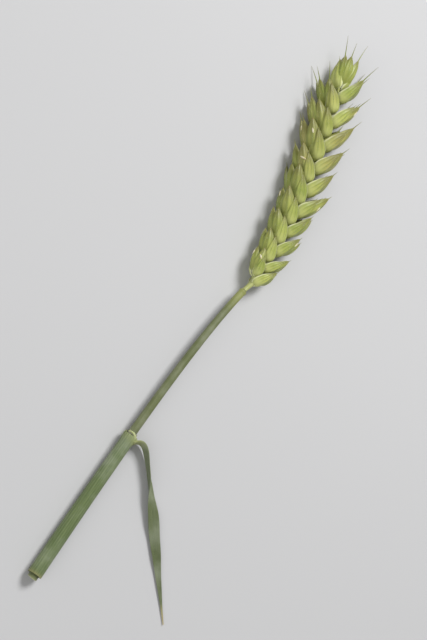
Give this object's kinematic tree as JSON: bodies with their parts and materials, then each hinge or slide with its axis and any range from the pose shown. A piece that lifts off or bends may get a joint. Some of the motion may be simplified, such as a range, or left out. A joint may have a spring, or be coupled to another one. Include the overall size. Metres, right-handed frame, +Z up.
{
  "type": "wheat ear",
  "caption": "Green beardless wheat ear with plaited rows of pointed spikelets, on a short cut stalk whose narrow flag leaf bends back from its sheath.",
  "frame": {"origin": "on the surface the stalk lies on, under the middle of the whole stalk's bounding box", "axes": "+Y along the stalk from its cut end to the tip of the ear, +Z up from the surface, +X to the side that the leaf blade bends to"},
  "size_m": [0.0504, 0.2015, 0.0098],
  "materials": {
    "ear_green": "fresh yellow-green chaff, satin, paler at the margins and tips",
    "stem_green": "fresh grey-green straw, satin, finely ribbed",
    "leaf_green": "fresh blue-green leaf with a waxy bloom, satin, finely veined"
  },
  "bodies": {
    "root": {"ear": "ear_green", "stem": "stem_green", "flag_leaf": "leaf_green"}
  },
  "joints": []
}
